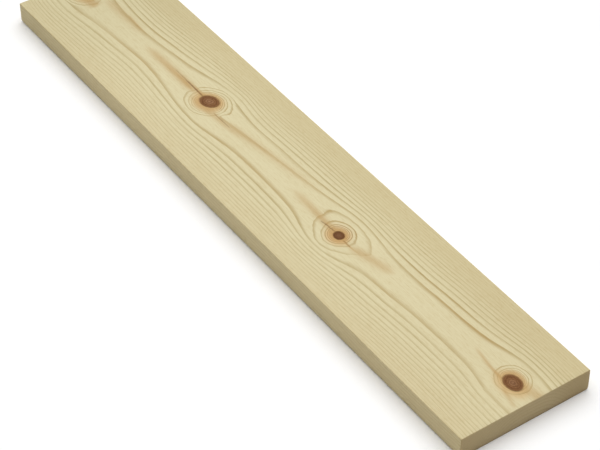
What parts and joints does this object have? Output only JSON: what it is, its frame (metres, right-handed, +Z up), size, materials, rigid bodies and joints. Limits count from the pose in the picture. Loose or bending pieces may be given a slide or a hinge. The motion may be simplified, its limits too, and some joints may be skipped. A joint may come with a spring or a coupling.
{
  "type": "timber plank",
  "caption": "Solid planed softwood plank with rounded long edges and square-cut ends, knotty on its wide face, for shelves, cladding and general joinery.",
  "frame": {"origin": "middle of the underside, at the height of the floor that the plank lies on", "axes": "+X along the grain towards the end that is nearer in the picture, +Y across the wide face towards the right-hand edge in the picture, +Z up through the thickness"},
  "size_m": [0.8, 0.15, 0.025],
  "materials": {
    "pine": "planed and unfinished, pale with brown knots"
  },
  "bodies": {
    "root": {"plank": "pine"}
  },
  "joints": []
}
